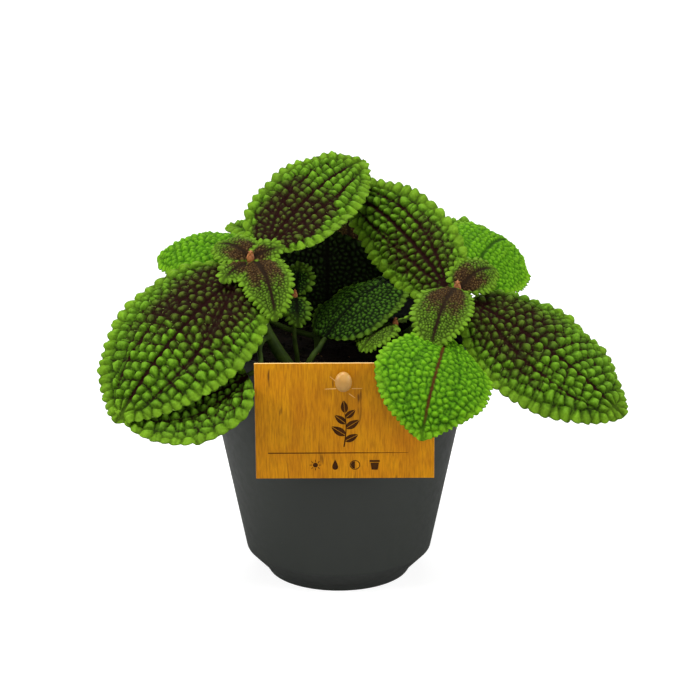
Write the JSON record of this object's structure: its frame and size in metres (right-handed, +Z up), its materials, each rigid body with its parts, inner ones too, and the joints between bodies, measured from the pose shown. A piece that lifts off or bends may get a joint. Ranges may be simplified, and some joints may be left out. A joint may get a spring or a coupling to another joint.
{
  "type": "potted pilea",
  "caption": "Pilea with puckered, toothed leaves on branching stems, standing in a tapered round nursery pot of soil with a plant card clipped on its rim.",
  "frame": {"origin": "middle of the pot's underside, on the surface that the pot stands on", "axes": "+Z up along the pot's axis; the plant card and the front of the plant face -Y; +X to the viewer's right"},
  "size_m": [0.2207, 0.183, 0.1771],
  "materials": {
    "label_card": "printed wood grain, satin",
    "label_clip": "satin",
    "leaf_pale": "puckered, soft sheen",
    "leaf_dark": "puckered, soft sheen",
    "pot": "matte",
    "young_leaf": "downy",
    "soil": "crumbly, matt",
    "stem": "soft, finely hairy"
  },
  "bodies": {
    "root": {"label_card": "label_card", "label_clip": "label_clip", "leaf_back_left": "leaf_pale", "leaf_back_right": "leaf_pale", "leaf_front_right": "leaf_pale", "leaf_inner_left": "leaf_dark", "leaf_inner_right": "leaf_dark", "leaf_left_front": "leaf_dark", "leaf_left_under": "leaf_dark", "leaf_low_back_left": "leaf_pale", "leaf_low_back_right": "leaf_pale", "leaf_low_left": "leaf_pale", "leaf_low_right": "leaf_pale", "leaf_rear": "leaf_dark", "leaf_rear_left": "leaf_dark", "leaf_rear_right": "leaf_dark", "leaf_right": "leaf_dark", "leaf_top_left": "leaf_dark", "leaf_top_right": "leaf_dark", "pot": "pot", "shoot_inner_left": "young_leaf", "shoot_inner_right": "young_leaf", "shoot_tip_back": "young_leaf", "shoot_tip_left": "young_leaf", "shoot_tip_right": "young_leaf", "soil": "soil", "stem_back": "stem", "stem_inner_left": "stem", "stem_inner_right": "stem", "stem_left": "stem", "stem_right": "stem"}
  },
  "joints": []
}
